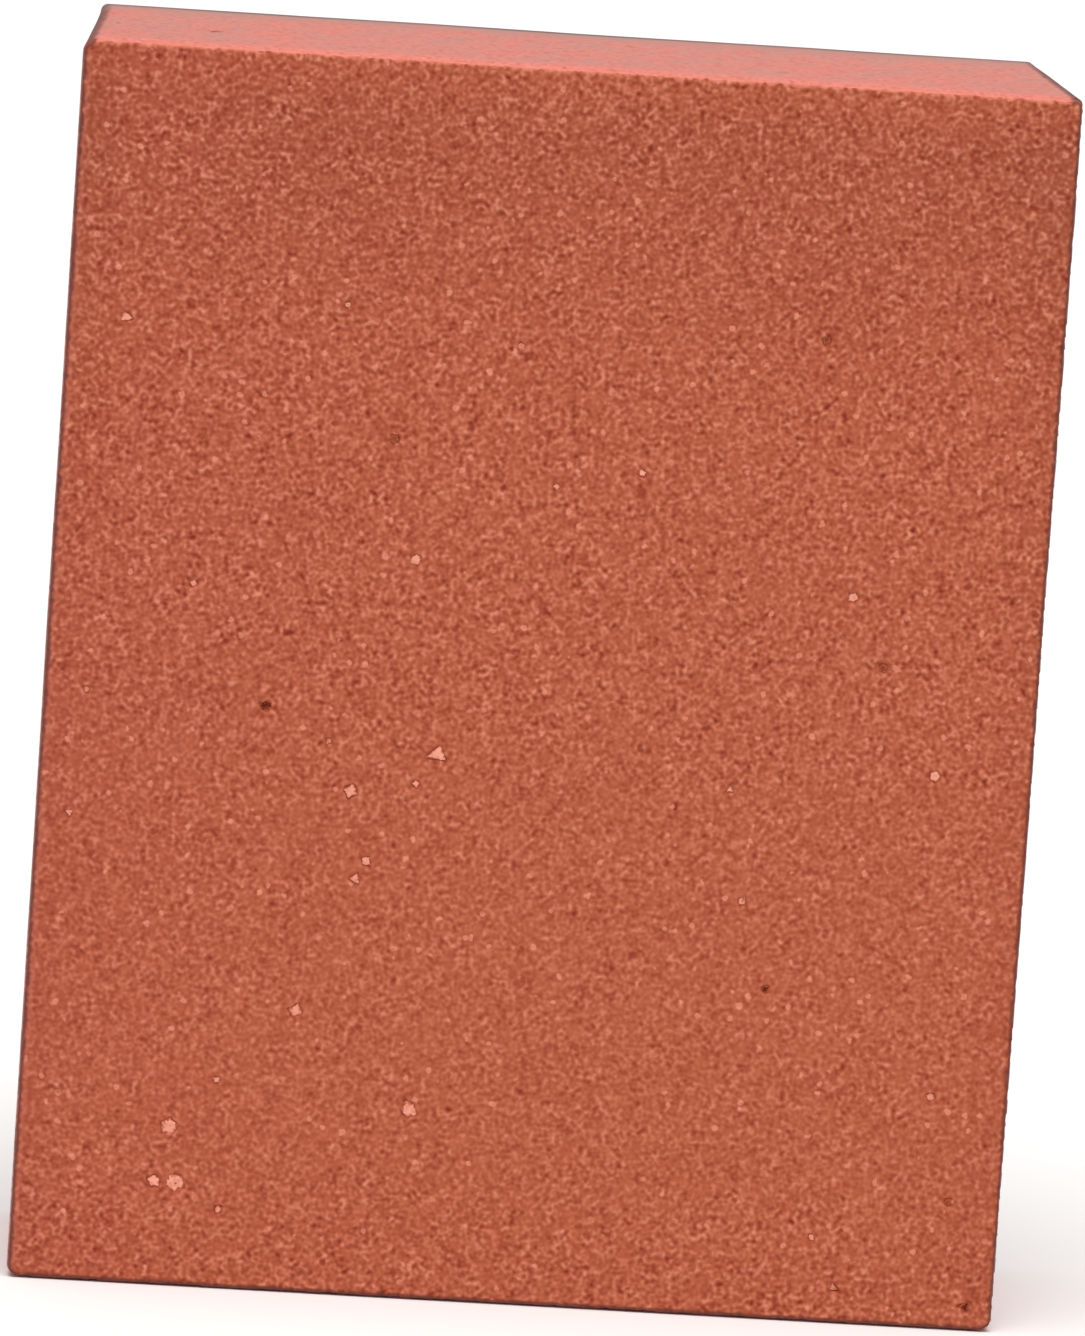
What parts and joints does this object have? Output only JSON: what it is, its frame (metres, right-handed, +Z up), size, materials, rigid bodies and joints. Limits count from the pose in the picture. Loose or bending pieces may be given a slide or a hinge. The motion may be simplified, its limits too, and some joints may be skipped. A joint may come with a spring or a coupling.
{
  "type": "clay bar",
  "caption": "Rectangular block of terracotta detailing clay with slightly drafted sides, a worn corner and pale and dark grains flush in its faces.",
  "frame": {"origin": "middle of the foot, the end that the bar stands on", "axes": "+X across the bar, +Y from the working face to the narrower back, +Z up the bar's height; the working face looks towards -Y"},
  "size_m": [0.064, 0.021, 0.0805],
  "materials": {
    "terracotta_clay": "matt, finely grained, with a soft sheen on the moulded ends",
    "coarse_pale_grit": "matt, crushed",
    "fine_pale_grit": "matt, crushed",
    "dark_grit": "matt, crushed"
  },
  "bodies": {
    "root": {"clay_body": "terracotta_clay", "coarse_pale_grains": "coarse_pale_grit", "fine_pale_grains": "fine_pale_grit", "dark_grains": "dark_grit"}
  },
  "joints": []
}
